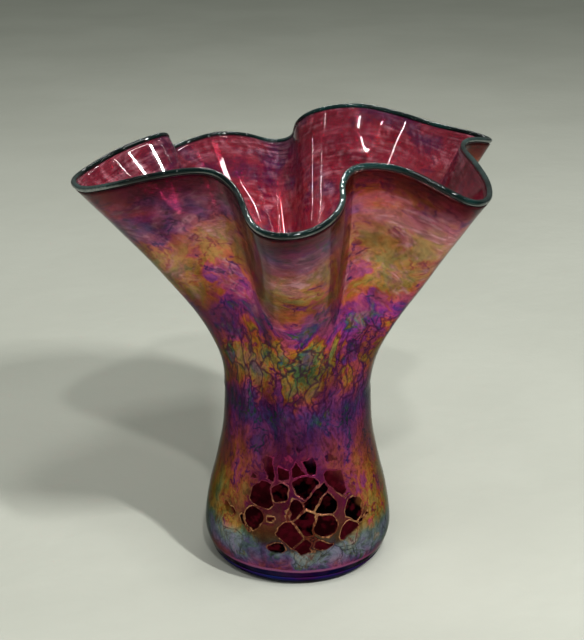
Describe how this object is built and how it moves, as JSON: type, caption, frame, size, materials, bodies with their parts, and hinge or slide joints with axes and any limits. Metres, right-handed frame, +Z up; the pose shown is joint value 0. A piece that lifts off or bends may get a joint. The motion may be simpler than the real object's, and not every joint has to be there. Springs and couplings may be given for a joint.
{
  "type": "blown glass vase",
  "caption": "Free-standing blown glass vase with a rounded bulb, a narrow neck and a flared, deeply ruffled lip; holds flowers or stands alone as decoration.",
  "frame": {"origin": "middle of the ground seat under the foot, on the axis of the round body", "axes": "+Z up along the axis of the body, -Y towards the side with the single deep scoop in the lip, +X to the right of a person who looks at that side"},
  "size_m": [0.1904, 0.1928, 0.1993],
  "materials": {
    "foot_glass": "clear glass with violet and blue lustre, ground flat underneath",
    "lustre_glass": "fire-polished glass with iridescent gold, magenta, purple and green lustre",
    "ruby_glass": "fire-polished cranberry glass with pale wisps",
    "lip_glass": "fire-polished dark teal glass"
  },
  "bodies": {
    "root": {"foot_gather": "foot_glass", "outer_casing": "lustre_glass", "ruby_gather": "ruby_glass", "lip_wrap": "lip_glass"}
  },
  "joints": []
}
